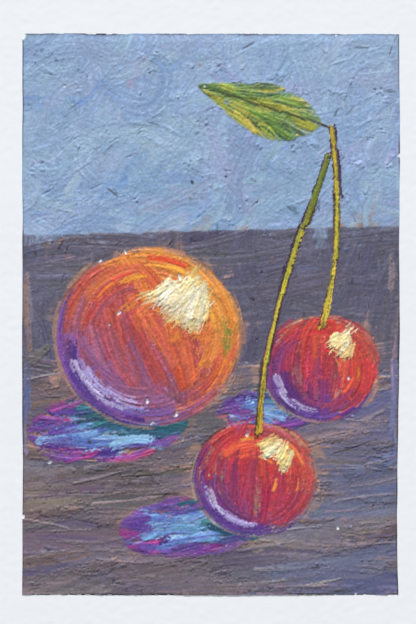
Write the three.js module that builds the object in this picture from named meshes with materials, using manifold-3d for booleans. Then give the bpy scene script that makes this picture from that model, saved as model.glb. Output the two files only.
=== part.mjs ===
// A small still life in thick oil pastel on a sheet of heavy white paper.
//
// The sheet lies on its back with the picture facing up. The origin is the middle of the sheet's
// back face, +X runs to the picture's right, +Y to the picture's top and +Z out of the picture.
// Every length is in millimetres.
//
// The sheet's margin was masked while the picture was made, so the colour ends in a straight-sided
// field with bare paper all round it. The colour itself is a set of separate deposits: a first layer
// laid straight on the paper, each area stopping where the next one starts, and a second layer of
// stalks, a leaf and highlights pressed on top of the first.

import * as THREE from 'three';
import { mergeVertices } from 'three/addons/utils/BufferGeometryUtils.js';
import Module from 'manifold-3d';

const wasm = await Module();
wasm.setup();

// ---------------------------------------------------------------------------------------------
// Driving dimensions
// ---------------------------------------------------------------------------------------------

// The sheet: a common 5 by 7 inch cut of cold-pressed paper.
const sheetWidth = 127;
const sheetHeight = 177.8;
const sheetThickness = 0.6;

// The painted field inside the masked margin.
const fieldWidth = 102.6;
const fieldHeight = 152.4;

// The colour's thickness: the first layer on the paper, then the second layer on the first.
const firstLayerThickness = 0.5;
const secondLayerThickness = 0.4;

// Two deposits side by side stop this far apart.
const depositGap = 0.3;

// The table's far edge crosses the field with a slight tilt.
const tableEdgeLeft = 20.8;
const tableEdgeRight = 23.2;

// A fruit: its middle, its half width and half height, and the dip at its stalk.
// stalkAngle is the direction of the dip, and dipDepth is a share of the fruit's radius.
const apricot = { x: -17, y: -6, rx: 25, ry: 24, stalkAngle: 1.95, dipDepth: 0.07, dipWidth: 0.3 };
const frontCherry = { x: 12, y: -44, rx: 16.5, ry: 16, stalkAngle: 1.5, dipDepth: 0.16, dipWidth: 0.42 };
const backCherry = { x: 30, y: -14, rx: 15.5, ry: 15, stalkAngle: 1.6, dipDepth: 0.16, dipWidth: 0.42 };

// A cast shadow: an ellipse to the fruit's lower left.
const apricotShadow = { x: -28, y: -30.5, rx: 20.5, ry: 9.5, turn: 0.12 };
const frontCherryShadow = { x: -4, y: -57.5, rx: 20, ry: 7.5, turn: 0.1 };
const backCherryShadow = { x: 17.5, y: -25.5, rx: 15, ry: 5.8, turn: 0.14 };

// The back cherry's stalk runs up from the cherry's dip and widens into the twig end.
// The front cherry's stalk runs up to it and stops against its side.
const stalkWidth = 2.2;
const twigWidth = 3.4;
const backStalk = { bend: { x: 37, y: 16 }, end: { x: 33, y: 51 }, endWidth: twigWidth };
const frontStalk = { bend: { x: 15, y: 4 }, end: { x: 33.4, y: 44.5 }, endWidth: stalkWidth };

// The leaf grows from the twig end to the upper left.
const leafBase = { x: 29.6, y: 51.6 };
const leafTip = { x: -3, y: 62 };
const leafBelly = 8.5;

// A highlight: a short dab on the side of the fruit that faces the light.
const apricotHighlight = { x: -8, y: 4.5, rx: 6.8, ry: 3.6, turn: -0.85 };
const frontCherryHighlight = { x: 18, y: -37.5, rx: 3.9, ry: 2.1, turn: -0.8 };
const backCherryHighlight = { x: 35.5, y: -8, rx: 3.6, ry: 2, turn: -0.8 };

// How finely the curves are cut into straight sides.
const fruitSides = 72;
const ellipseSides = 48;
const highlightSides = 28;
const stalkSteps = 28;
const leafSteps = 18;

// ---------------------------------------------------------------------------------------------
// Heights that follow from them
// ---------------------------------------------------------------------------------------------

const paperTop = sheetThickness;
const firstLayerTop = paperTop + firstLayerThickness;
const fieldLeft = -fieldWidth / 2;
const fieldRight = fieldWidth / 2;
const fieldBottom = -fieldHeight / 2;
const fieldTop = fieldHeight / 2;
const sheetRight = sheetWidth / 2;
const sheetTop = sheetHeight / 2;

// ---------------------------------------------------------------------------------------------
// Outlines in plan
// ---------------------------------------------------------------------------------------------

function outlineThrough(places) {
  return new THREE.Shape(places.map(([x, y]) => new THREE.Vector2(x, y)));
}

// A fruit is round in plan, with a soft dip where its stalk goes in.
function fruitOutline(fruit, grow) {
  const places = [];
  for (let step = 0; step < fruitSides; step += 1) {
    const turn = (step / fruitSides) * 2 * Math.PI;
    const offStalk = Math.atan2(Math.sin(turn - fruit.stalkAngle), Math.cos(turn - fruit.stalkAngle));
    const share = 1 - fruit.dipDepth * Math.exp(-((offStalk / fruit.dipWidth) ** 2));
    const x = fruit.x + (fruit.rx * share + grow) * Math.cos(turn);
    const y = fruit.y + (fruit.ry * share + grow) * Math.sin(turn);
    places.push([x, y]);
  }
  return outlineThrough(places);
}

// Shadows and highlights are turned ellipses.
function ellipseOutline(patch, grow, sides) {
  const places = [];
  for (let step = 0; step < sides; step += 1) {
    const turn = (step / sides) * 2 * Math.PI;
    const along = (patch.rx + grow) * Math.cos(turn);
    const across = (patch.ry + grow) * Math.sin(turn);
    const x = patch.x + along * Math.cos(patch.turn) - across * Math.sin(patch.turn);
    const y = patch.y + along * Math.sin(patch.turn) + across * Math.cos(patch.turn);
    places.push([x, y]);
  }
  return outlineThrough(places);
}

// The bottom of a fruit's dip, where its stalk starts.
function stalkFoot(fruit) {
  const share = 1 - fruit.dipDepth;
  const x = fruit.x + fruit.rx * share * 0.9 * Math.cos(fruit.stalkAngle);
  const y = fruit.y + fruit.ry * share * 0.9 * Math.sin(fruit.stalkAngle);
  return { x, y };
}

// A stalk is a ribbon along a bent line, which flares over its last fifth.
function stalkOutline(foot, stalk, grow) {
  const line = new THREE.QuadraticBezierCurve(
    new THREE.Vector2(foot.x, foot.y),
    new THREE.Vector2(stalk.bend.x, stalk.bend.y),
    new THREE.Vector2(stalk.end.x, stalk.end.y),
  );
  const leftSide = [];
  const rightSide = [];
  for (let step = 0; step <= stalkSteps; step += 1) {
    const share = step / stalkSteps;
    const place = line.getPoint(share);
    const along = line.getTangent(share);
    const flare = Math.max(0, (share - 0.8) / 0.2);
    const half = (stalkWidth + (stalk.endWidth - stalkWidth) * flare) / 2 + grow;
    leftSide.push([place.x - along.y * half, place.y + along.x * half]);
    rightSide.push([place.x + along.y * half, place.y - along.x * half]);
  }
  return outlineThrough([...rightSide, ...leftSide.reverse()]);
}

// A leaf bellies out on both sides of its midrib and comes to a point.
function leafOutline() {
  const run = new THREE.Vector2(leafTip.x - leafBase.x, leafTip.y - leafBase.y);
  const side = new THREE.Vector2(-run.y, run.x).normalize();
  const upper = [];
  const lower = [];
  for (let step = 0; step <= leafSteps; step += 1) {
    const share = step / leafSteps;
    const belly = leafBelly * Math.sin(Math.PI * share ** 0.8) * (1 - 0.25 * share);
    const x = leafBase.x + run.x * share;
    const y = leafBase.y + run.y * share;
    upper.push([x + side.x * belly, y + side.y * belly]);
    lower.push([x - side.x * belly * 0.8, y - side.y * belly * 0.8]);
  }
  return outlineThrough([...upper.slice(0, -1), ...lower.slice(1).reverse()]);
}

// ---------------------------------------------------------------------------------------------
// Solids
// ---------------------------------------------------------------------------------------------

// An outline given a thickness, standing on the height called bottom.
function slab(outline, bottom, thickness) {
  const geometry = new THREE.ExtrudeGeometry(outline, { depth: thickness, bevelEnabled: false });
  geometry.translate(0, 0, bottom);
  geometry.deleteAttribute('normal');
  geometry.deleteAttribute('uv');
  const merged = mergeVertices(geometry);
  const vertProperties = new Float32Array(merged.attributes.position.array);
  const triVerts = new Uint32Array(merged.index.array);
  return new wasm.Manifold(new wasm.Mesh({ numProp: 3, vertProperties, triVerts }));
}

function onPaper(outline) {
  return slab(outline, paperTop, firstLayerThickness);
}

function onFirstLayer(outline) {
  return slab(outline, firstLayerTop, secondLayerThickness);
}

// A deposit stops short of each neighbour that was laid down before it.
function laidAround(deposit, neighbours) {
  return neighbours.reduce((rest, neighbour) => rest.subtract(neighbour), deposit);
}

// ---------------------------------------------------------------------------------------------
// Named pieces
// ---------------------------------------------------------------------------------------------

const painting = new THREE.Group();

function addPiece(name, solid, color, roughness) {
  const mesh = solid.getMesh();
  const geometry = new THREE.BufferGeometry();
  geometry.setAttribute('position', new THREE.BufferAttribute(mesh.vertProperties, 3));
  geometry.setIndex(new THREE.BufferAttribute(mesh.triVerts, 1));
  geometry.computeVertexNormals();
  const material = new THREE.MeshStandardMaterial({ color, roughness, metalness: 0 });
  const piece = new THREE.Mesh(geometry, material);
  piece.name = name;
  painting.add(piece);
}

// The paper, cut square.
const sheet = outlineThrough([
  [-sheetRight, -sheetTop],
  [sheetRight, -sheetTop],
  [sheetRight, sheetTop],
  [-sheetRight, sheetTop],
]);
addPiece('paper_sheet', slab(sheet, 0, sheetThickness), 0xeef1f5, 0.9);

// The fruit, laid first.
addPiece('apricot_paint', onPaper(fruitOutline(apricot, 0)), 0xc77750, 0.5);
addPiece('front_cherry_paint', onPaper(fruitOutline(frontCherry, 0)), 0xa94a57, 0.5);
addPiece('back_cherry_paint', onPaper(fruitOutline(backCherry, 0)), 0xa94a57, 0.5);

// Everything else in the first layer stops a little way outside the fruit.
const aroundFruit = [apricot, frontCherry, backCherry].map(
  (fruit) => onPaper(fruitOutline(fruit, depositGap)),
);

// The three shadows, each cut back from the fruit and from the shadows before it.
const shadows = [
  ['apricot_shadow_paint', apricotShadow],
  ['front_cherry_shadow_paint', frontCherryShadow],
  ['back_cherry_shadow_paint', backCherryShadow],
];
const aroundShadows = [];
for (const [name, patch] of shadows) {
  const shadow = onPaper(ellipseOutline(patch, 0, ellipseSides));
  addPiece(name, laidAround(shadow, [...aroundFruit, ...aroundShadows]), 0x5a3b8c, 0.5);
  aroundShadows.push(onPaper(ellipseOutline(patch, depositGap, ellipseSides)));
}

// The table below its far edge, and the wall above it.
const table = outlineThrough([
  [fieldLeft, fieldBottom],
  [fieldRight, fieldBottom],
  [fieldRight, tableEdgeRight],
  [fieldLeft, tableEdgeLeft],
]);
const wall = outlineThrough([
  [fieldLeft, tableEdgeLeft + depositGap],
  [fieldRight, tableEdgeRight + depositGap],
  [fieldRight, fieldTop],
  [fieldLeft, fieldTop],
]);
addPiece('table_paint', laidAround(onPaper(table), [...aroundFruit, ...aroundShadows]), 0x776d7c, 0.55);
addPiece('wall_paint', onPaper(wall), 0x94aacb, 0.55);

// The second layer: stalks and leaf, then the highlights.
const frontFoot = stalkFoot(frontCherry);
const backFoot = stalkFoot(backCherry);
const backStalkPaint = onFirstLayer(stalkOutline(backFoot, backStalk, 0));
const aroundBackStalk = onFirstLayer(stalkOutline(backFoot, backStalk, depositGap));
const frontStalkPaint = onFirstLayer(stalkOutline(frontFoot, frontStalk, 0));
addPiece('back_stalk_paint', backStalkPaint, 0x91806b, 0.5);
addPiece('front_stalk_paint', laidAround(frontStalkPaint, [aroundBackStalk]), 0x91806b, 0.5);
addPiece('leaf_paint', onFirstLayer(leafOutline()), 0x6f8f5a, 0.5);

const highlights = [
  ['apricot_highlight_paint', apricotHighlight],
  ['front_cherry_highlight_paint', frontCherryHighlight],
  ['back_cherry_highlight_paint', backCherryHighlight],
];
for (const [name, patch] of highlights) {
  addPiece(name, onFirstLayer(ellipseOutline(patch, 0, highlightSides)), 0xf0dea9, 0.45);
}

export default painting;
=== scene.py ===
# %% [markdown]
# # A fruit still life in thick oil pastel on heavy white paper
#
# The real object is a sheet of cold-pressed paper with a picture built up on it in oil pastel.
# Oil pastel is pigment in wax and oil. It never quite dries, so every mark stays in it: the furrows
# that grit leaves along a mark, the lip pushed up at its sides, the heap where the stick stopped,
# and the colour dragged along from whatever lay underneath.
#
# It could be imitated with a flat sheet and a bumpy material. Here each mark is laid one by one on a
# height field instead, as the hand does it, because then relief and colour agree with each other,
# and the ridges stay real geometry from every side.

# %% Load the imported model
import bpy
import bmesh
import math
import numpy as np
from mathutils import Matrix, Vector


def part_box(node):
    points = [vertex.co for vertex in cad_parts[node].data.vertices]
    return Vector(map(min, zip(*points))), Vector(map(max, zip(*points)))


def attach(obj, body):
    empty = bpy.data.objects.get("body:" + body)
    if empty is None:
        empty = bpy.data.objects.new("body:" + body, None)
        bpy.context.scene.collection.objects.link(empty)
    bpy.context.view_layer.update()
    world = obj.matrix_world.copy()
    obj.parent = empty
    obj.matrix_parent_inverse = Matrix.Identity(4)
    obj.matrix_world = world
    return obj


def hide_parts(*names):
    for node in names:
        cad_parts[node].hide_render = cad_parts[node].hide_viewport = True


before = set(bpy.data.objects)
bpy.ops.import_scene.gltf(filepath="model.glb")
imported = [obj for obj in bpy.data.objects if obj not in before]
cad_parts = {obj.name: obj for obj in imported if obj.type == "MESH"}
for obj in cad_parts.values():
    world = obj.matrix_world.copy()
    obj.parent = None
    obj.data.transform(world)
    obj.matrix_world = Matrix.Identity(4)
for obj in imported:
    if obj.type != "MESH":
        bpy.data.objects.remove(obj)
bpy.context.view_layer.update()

# %% [markdown]
# ## The field that the colour covers
#
# The margin was masked while the picture was made, so the colour fills a straight-sided field. The
# packed deposits say where it lies. The field gets a square grid with a point every quarter of a
# millimetre, which is about the finest furrow that a stick of pastel leaves. Each point keeps the
# colour's height above the paper, its pigment, and how far along and across the last mark it lies.
# All of this is worked out in millimetres and turned into metres when a mesh is made.

# %% The grid and what each point keeps
MM = 0.001
GRAIN = 0.25
_, wall_high = [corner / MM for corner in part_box("wall_paint")]
table_low, table_high = [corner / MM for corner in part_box("table_paint")]
paper_low, paper_high = [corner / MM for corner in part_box("paper_sheet")]
left, right = table_low.x, table_high.x
bottom, top = table_low.y, wall_high.y
paper_top = paper_high.z
columns = round((right - left) / GRAIN)
rows = round((top - bottom) / GRAIN)
step = (right - left) / columns
line_x = np.linspace(left, right, columns + 1)
line_y = np.linspace(bottom, top, rows + 1)
grid_x, grid_y = np.meshgrid(line_x, line_y)


def shade(red, green, blue):
    """A pigment as it looks on a swatch card, from 0 to 255."""
    return np.array([red, green, blue], float) / 255


bare_paper = shade(238, 241, 246)
height = np.zeros(grid_x.shape)
pigment = np.ones(grid_x.shape + (3,)) * bare_paper
along_mark = grid_y.copy()
across_mark = grid_x.copy()
print(columns, "by", rows, "cells of", round(step, 3), "mm")

# %% [markdown]
# ## Grit, tooth and furrows
#
# Nothing in pastel is even. The paper has a tooth, the stick holds grit, and its worn face is
# ridged, so it leaves furrows that run along a mark and change slowly. All of these are smooth
# noise with a different reach in each direction. Filtering white noise by its frequencies gives a
# tile that repeats without a seam, so a mark of any length can read from it.

# %% Noise tiles that repeat without a seam
TILE = 512
chance = np.random.default_rng(20)


def noise_tile(reach_across, reach_along):
    """Smooth noise with unit spread. The reaches are in samples."""
    across = np.fft.fftfreq(TILE)[:, None] * reach_across
    along = np.fft.fftfreq(TILE)[None, :] * reach_along
    keep = np.exp(-18 * (across ** 2 + along ** 2))
    tile = np.fft.ifft2(np.fft.fft2(chance.standard_normal((TILE, TILE))) * keep).real
    return (tile - tile.mean()) / tile.std()


def read_tile(tile, across, along):
    return tile[np.floor(across).astype(int) % TILE, np.floor(along).astype(int) % TILE]


furrow_tile = noise_tile(1.5, 24)
band_tile = noise_tile(5, 44)
grit_tile = noise_tile(1.3, 1.3)
cloud_tile = noise_tile(8, 8)
fine_tooth = read_tile(noise_tile(0.7, 0.7), grid_y / step, grid_x / step)
broad_tooth = read_tile(noise_tile(2.2, 2.2), grid_y / step, grid_x / step)
tooth = 0.6 * fine_tooth + 0.4 * broad_tooth
print("tooth spread", round(float(tooth.std()), 2))


def ramp(start, end, value):
    """0 below start, 1 above end, and a smooth rise between."""
    share = np.clip((value - start) / (end - start), 0, 1)
    return share * share * (3 - 2 * share)

# %% [markdown]
# ## One mark of the stick
#
# A mark is a short arc: a start, a heading, a length, a width and a bend. For every grid point near
# it, plane geometry gives how far along the arc the point lies and how far to its side. Everything
# else follows from those two numbers, so the same few lines make a dab, a hatch or a long drag.
#
# The stick does four things at once. It levels what it passes over, it adds its own thickness with
# furrows along it, it pushes a lip to each side and a heap to its end, and it drags some of the
# colour from under it forwards. Where it presses lightly it touches only the high spots, so the mark
# breaks up towards its end.

# %% Where a mark starts and reaches, and its own two coordinates
def step_back(x, y, heading, distance, bend):
    """The place and heading a distance earlier on the arc."""
    if abs(bend) < 1e-4:
        return x - distance * math.cos(heading), y - distance * math.sin(heading), heading
    before = heading - bend * distance
    return (x - (math.sin(heading) - math.sin(before)) / bend,
            y + (math.cos(heading) - math.cos(before)) / bend, before)


def window_round(x, y, heading, length, bend, margin):
    """The part of the grid that an arc can touch."""
    stops = np.linspace(-margin, length + margin, 11)
    if abs(bend) < 1e-4:
        path_x = x + stops * math.cos(heading)
        path_y = y + stops * math.sin(heading)
    else:
        path_x = x + (np.sin(heading + bend * stops) - math.sin(heading)) / bend
        path_y = y - (np.cos(heading + bend * stops) - math.cos(heading)) / bend
    low_x = max(int((path_x.min() - margin - left) / step), 0)
    high_x = min(int((path_x.max() + margin - left) / step) + 2, columns + 1)
    low_y = max(int((path_y.min() - margin - bottom) / step), 0)
    high_y = min(int((path_y.max() + margin - bottom) / step) + 2, rows + 1)
    return slice(low_y, max(high_y, low_y)), slice(low_x, max(high_x, low_x))


def arc_coordinates(window, x, y, heading, bend):
    """How far along the arc and how far to its left each point of the window lies."""
    px, py = grid_x[window], grid_y[window]
    if abs(bend) < 1e-4:
        along = (px - x) * math.cos(heading) + (py - y) * math.sin(heading)
        across = (py - y) * math.cos(heading) - (px - x) * math.sin(heading)
        return along, across
    centre_x = x - math.sin(heading) / bend
    centre_y = y + math.cos(heading) / bend
    side = math.copysign(1.0, bend)
    turned = np.arctan2(py - centre_y, px - centre_x) - math.atan2(y - centre_y, x - centre_x)
    turned = (turned * side + math.pi / 2) % (2 * math.pi) - math.pi / 2
    across = (1 / abs(bend) - np.hypot(px - centre_x, py - centre_y)) * side
    return turned / abs(bend), across

# %% The mark itself
def lay(x, y, heading, length, width, colour, second=None, bend=0.0, thick=0.1, pickup=0.3,
        dry=0.0, fade=0.5, lip=0.05, heap=0.05, furrow=0.5, scrape=0.2, drag=3.0, ragged=0.2,
        tails=0.5, soft=0.2, within=None, record=None):
    """Lays one mark, centred on a place. Lengths and heights are in millimetres."""
    half = width / 2
    x, y, heading = step_back(x, y, heading, length / 2, bend)
    window = window_round(x, y, heading, length, bend, width * 1.1 + 0.3)
    if grid_x[window].size == 0:
        return
    along, across = arc_coordinates(window, x, y, heading, bend)
    turn_a, turn_b, turn_c = chance.uniform(0, TILE, 3)
    furrows = read_tile(furrow_tile, across * 10 + turn_a, along * 4 + turn_b)
    bands = read_tile(band_tile, across * 10 + turn_b, along * 4 + turn_c)
    rough = read_tile(cloud_tile, along * 8 + turn_c, across * 8 + turn_a)
    grit = read_tile(grit_tile, along * 8 + turn_a, across * 8 + turn_c)
    aside = across / (half * (1 + 0.1 * np.sin(along * 0.5 + turn_a)))
    beyond = np.maximum(np.maximum(-along, along - length), 0) / half
    reach = np.hypot(aside, beyond) + ragged * (0.6 * rough + 0.35 * grit)
    reach = reach + tails * furrows * np.clip(beyond, 0, 1)
    cover = ramp(1.0, 1.0 - soft, reach)
    if dry > 0:
        press = 1.15 - fade * np.clip(along / length, 0, 1) ** 2 - 0.25 * np.abs(aside) ** 3
        contact = press + 0.3 * furrows + 0.28 * tooth[window] + 0.12 * grit
        cover = cover * ramp(dry - 0.12, dry + 0.12, contact)
    if within is not None:
        cover = cover * within[window]
    total = cover.sum()
    if total < 3:
        return
    old = height[window]
    level = (0.55 * old + 0.45 * (old * cover).sum() / total) * (1 - scrape)
    crown = thick * (0.8 + 0.2 * (1 - np.clip(aside, -1, 1) ** 2) + furrow * furrows + 0.3 * grit)
    sides = lip * np.exp(-((np.abs(aside) - 0.9) / 0.13) ** 2) * (0.55 + 0.45 * bands)
    end = heap * np.exp(-((along - length) / (0.35 * half)) ** 2) * (np.abs(aside) < 1.1)
    new = np.maximum(level + crown + sides + end * (0.7 + 0.3 * grit), 0.02)
    height[window] = old + (new - old) * cover
    direction = heading + bend * along
    from_x = np.clip((grid_x[window] - np.cos(direction) * drag - left) / step + 0.5, 0, columns)
    from_y = np.clip((grid_y[window] - np.sin(direction) * drag - bottom) / step + 0.5, 0, rows)
    under = pigment[from_y.astype(int), from_x.astype(int)]
    picked = np.clip(pickup + 0.22 * bands + 0.08 * furrows, 0, 0.95)[..., None]
    stick = np.ones(under.shape) * colour
    if second is not None:
        share = ramp(-0.6, 0.9, 0.75 * bands + 0.4 * furrows - 0.2)[..., None]
        stick = stick * (1 - share) + second * share
    laid = stick * (1 - picked) + under * picked
    laid = laid * (1 + (0.02 + 0.06 * furrow) * (furrows + 0.7 * grit))[..., None]
    pigment[window] = pigment[window] + (laid - pigment[window]) * cover[..., None]
    mostly = cover > 0.5
    along_mark[window] = np.where(mostly, along + turn_a, along_mark[window])
    across_mark[window] = np.where(mostly, across + turn_b, across_mark[window])
    if record is not None:
        record[window] = np.maximum(record[window], cover)

# %% [markdown]
# ## Scratches, pits and crumbs
#
# Grit caught under the stick scores thin lines, their grooves darkened as painted shade, torn spots
# leave small pits, and the stick sheds crumbs that stay stuck. They are small, but they are what
# makes the surface read as wax and not as plaster. A scratch is cut along an arc, and a pit or a crumb
# is a round spot with a rough rim.

# %% Scratch, pit and crumb
def scratch(x, y, heading, length, bend, width=0.34, depth=0.14, groove_shade=0.2, lip=0.04):
    bend = bend if abs(bend) > 1e-3 else 1e-3
    window = window_round(x, y, heading, length, bend, 1.2)
    if grid_x[window].size == 0:
        return
    along, across = arc_coordinates(window, x, y, heading, bend)
    turn_a, turn_b = chance.uniform(0, TILE, 2)
    rough = read_tile(furrow_tile, np.full(along.shape, turn_a), along * 8 + turn_b)
    across = across + 0.12 * rough
    ends = ramp(0, 1.2, along) * ramp(0, 1.2, length - along)
    cut = np.exp(-(across / (width / 2)) ** 2) * ends * np.clip(0.75 + 0.35 * rough, 0, 1.2)
    sides = np.exp(-((np.abs(across) - width * 0.85) / (width * 0.35)) ** 2) * ends
    height[window] = np.maximum(height[window] - depth * cut + lip * sides, 0.01)
    # The groove's colour is darkened by that share: painted shade in the cut.
    pigment[window] = pigment[window] * (1 - groove_shade * np.clip(cut, 0, 1))[..., None]


def rough_blob(x, y, across):
    """A small torn shape: the part of the grid it can touch, and how much of each point it fills."""
    window = window_round(x, y, 0.0, 0.1, 0.0, across * 1.3)
    dx, dy = grid_x[window] - x, grid_y[window] - y
    turn, stretch = chance.uniform(0, math.pi), chance.uniform(1.0, 2.2)
    along = (dx * math.cos(turn) + dy * math.sin(turn)) / stretch
    aside = dy * math.cos(turn) - dx * math.sin(turn)
    torn = read_tile(grit_tile, dx * 6 + chance.uniform(0, TILE), dy * 6 + chance.uniform(0, TILE))
    return window, ramp(1.15, 0.65, np.hypot(along, aside) / (across / 2) + 0.34 * torn)


def spot(x, y, across, rise, colour, strength):
    """A rough spot: a pit if it falls, a crumb if it rises."""
    window, body = rough_blob(x, y, across)
    if body.size:
        height[window] = np.maximum(height[window] + rise * body, 0.01)
        pigment[window] += (colour - pigment[window]) * (strength * body)[..., None]

# %% [markdown]
# ## Which part of the field each deposit owns
#
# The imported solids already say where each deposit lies. Their upward faces are drawn into the grid,
# one triangle at a time, and that mask is used in two ways. Softened and grown a little, it keeps
# the marks of one area from straying over the next, as a hand does. As it stands, it says later
# which cells become which piece.

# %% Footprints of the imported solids
def footprint(node):
    """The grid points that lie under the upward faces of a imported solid."""
    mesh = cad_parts[node].data
    found = np.zeros(grid_x.shape, bool)
    for face in mesh.polygons:
        if face.normal.z < 0.5:
            continue
        corners = [mesh.vertices[index].co / MM for index in face.vertices]
        low_x = max(int((min(c.x for c in corners) - left) / step), 0)
        high_x = int((max(c.x for c in corners) - left) / step) + 2
        low_y = max(int((min(c.y for c in corners) - bottom) / step), 0)
        high_y = int((max(c.y for c in corners) - bottom) / step) + 2
        window = (slice(low_y, high_y), slice(low_x, high_x))
        inside = np.ones(grid_x[window].shape, bool)
        for a, b in zip(corners, corners[1:] + corners[:1]):
            turn = (b.x - a.x) * (grid_y[window] - a.y) - (b.y - a.y) * (grid_x[window] - a.x)
            inside &= turn >= -1e-6
        found[window] |= inside
    return found


def grown(mask, distance, softness=0.6):
    """The mask pushed out by a distance in millimetres, with a soft edge."""
    wide = np.pad(mask.astype(float), 1, mode="edge")
    for _ in range(round(distance / step)):
        sides = [np.roll(wide, shift, axis) for axis in (0, 1) for shift in (-1, 1)]
        wide = np.maximum.reduce([wide, *sides])
    for _ in range(max(round(softness / step), 1)):
        sides = [np.roll(wide, shift, axis) for axis in (0, 1) for shift in (-1, 1)]
        wide = (2 * wide + sum(sides)) / 6
    return wide[1:-1, 1:-1]


first_layer = ["wall_paint", "table_paint", "apricot_paint", "front_cherry_paint",
               "back_cherry_paint", "apricot_shadow_paint", "front_cherry_shadow_paint",
               "back_cherry_shadow_paint"]
second_layer = ["front_stalk_paint", "back_stalk_paint", "leaf_paint", "apricot_highlight_paint",
                "front_cherry_highlight_paint", "back_cherry_highlight_paint"]
area = {node: footprint(node) for node in first_layer + second_layer}
soft_area = {node: grown(area[node], 0.5) for node in first_layer + second_layer}
print({node: int(mask.sum()) for node, mask in area.items()})


def random_place(mask):
    """A random point of the field under the mask."""
    found = np.flatnonzero(mask)
    row, column = divmod(int(chance.choice(found)), columns + 1)
    return line_x[column], line_y[row]


def vary(colour, amount):
    """The colour, a little lighter or darker and a little shifted."""
    shift = chance.normal(0, amount, 3) * 0.45 + chance.normal(0, amount)
    return np.clip(colour + shift, 0.01, 0.99)


def pick(colours):
    return colours[chance.integers(len(colours))]

# %% [markdown]
# ## The first rubbing-in
#
# The picture starts as a thin even rub of colour that fills the paper's tooth: salmon under the
# table and the fruit, pale blue under the wall. Most of it is covered later, but it shows in the
# gaps between marks and along every edge, and it warms the whole picture.

# %% Underpainting
salmon = shade(196, 138, 108)
wall_under = shade(140, 160, 194)
under_wall = grown(area["wall_paint"], 0.25, 1.0)[..., None]
cloud = read_tile(cloud_tile, grid_y * 3, grid_x * 3)
ground = shade(158, 124, 114)
pigment[:] = (ground * (1 - under_wall) + wall_under * under_wall) * (1 + 0.05 * cloud)[..., None]
height[:] = np.maximum(0.14 + 0.03 * tooth + 0.02 * cloud, 0.02)
print("rubbed-in colour is", round(float(height.mean()), 2), "mm thick")

# %% [markdown]
# ## The wall
#
# The wall is broad, blended strokes of near-equal blue-greys that swirl mostly from lower left to
# upper right. The stick was pressed flat and dragged through soft colour, so each mark picks up
# most of its colour from below. Then come level marks along the horizon, soft tints of pale blue,
# clear blue and lilac, and firmer marks that end in a ridge. Crumbly patches and short cracks are
# left where the soft colour tore. Their pits and grooves are darkened as painted shade, and their
# raised crumbs are a darker blue-grey.

# %% Wall marks
wall_greys = [shade(140, 167, 202), shade(134, 162, 200), shade(147, 175, 206),
              shade(154, 179, 205), shade(133, 159, 198), shade(149, 166, 203)]
wall_tints = [shade(164, 188, 206), shade(158, 182, 208), shade(164, 158, 200), shade(112, 150, 208),
              shade(150, 178, 200)]
wall_touches = [shade(118, 158, 216), shade(132, 166, 220), shade(163, 156, 208),
                shade(176, 166, 194), shade(180, 200, 222), shade(120, 140, 196)]
wall = area["wall_paint"]
wall_edge = soft_area["wall_paint"]
horizon = line_y[np.flatnonzero(wall.any(axis=1))[0]]
for count, width_range, length_range in ((200, (6, 10), (18, 44)), (260, (3.2, 6), (14, 36))):
    for _ in range(count):
        x, y = random_place(wall)
        lay(x, y, chance.normal(0.75, 0.65) + math.pi * chance.integers(2),
            chance.uniform(*length_range), chance.uniform(*width_range),
            vary(pick(wall_greys), 0.014), second=vary(pick(wall_greys), 0.014),
            bend=chance.normal(0, 0.035), thick=0.075, pickup=0.5, lip=0.03, heap=0.03,
            furrow=0.2, dry=0.2, within=wall_edge)
for _ in range(64):
    x, y = random_place(wall)
    lay(x, y, chance.normal(0.75, 0.5), chance.uniform(4, 13), chance.uniform(0.8, 2.2),
        vary(pick(wall_touches), 0.015), bend=chance.normal(0, 0.05), thick=0.06, pickup=0.52,
        dry=0.68, lip=0.03, heap=0.03, within=wall_edge)
for _ in range(120):
    x, y = random_place(wall)
    lay(x, y, chance.normal(0.75, 0.55), chance.uniform(10, 30), chance.uniform(4, 9),
        vary(pick(wall_greys), 0.01), bend=chance.normal(0, 0.04), thick=0.06, pickup=0.8,
        drag=3, lip=0.05, heap=0.02, furrow=0.2, dry=0.5, within=wall_edge)
for _ in range(110):
    x = chance.uniform(left, right)
    lay(x, horizon + chance.uniform(0.5, 16), chance.normal(0.1, 0.3), chance.uniform(9, 26),
        chance.uniform(3, 5.5), vary(pick(wall_greys), 0.016), second=vary(pick(wall_greys), 0.014),
        bend=chance.normal(0, 0.02), thick=0.07, pickup=0.2, drag=1, lip=0.04, furrow=0.2, dry=0.15,
        within=wall_edge)
for _ in range(44):
    x, y = random_place(wall)
    lay(x, y, chance.normal(0.9, 0.6), chance.uniform(5, 16), chance.uniform(2, 5),
        vary(pick(wall_tints), 0.015), bend=chance.normal(0, 0.05), thick=0.05, pickup=0.62,
        lip=0.03, furrow=0.2, dry=0.4, within=wall_edge)
for _ in range(85):
    x, y = random_place(wall)
    lay(x, y, chance.normal(0.6, 0.7) + math.pi * chance.integers(2), chance.uniform(7, 26),
        chance.uniform(2.5, 6.5), vary(pick(wall_greys), 0.02), bend=chance.normal(0, 0.06),
        thick=0.09, pickup=0.6, drag=2, lip=0.13, heap=0.2, furrow=0.12, ragged=0.3, dry=0.3,
        within=wall_edge)
# Clusters of rough spots in a darker blue-grey: painted shade where a spot sinks into a pit, a darker
# crumb where it rises.
for _ in range(14):
    x, y = random_place(wall)
    for _ in range(16):
        spot(x + chance.normal(0, 1.1), y + chance.normal(0, 0.8), chance.uniform(0.3, 0.6),
             chance.uniform(-0.2, 0.14), shade(84, 98, 126), chance.uniform(0, 0.45))
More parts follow.
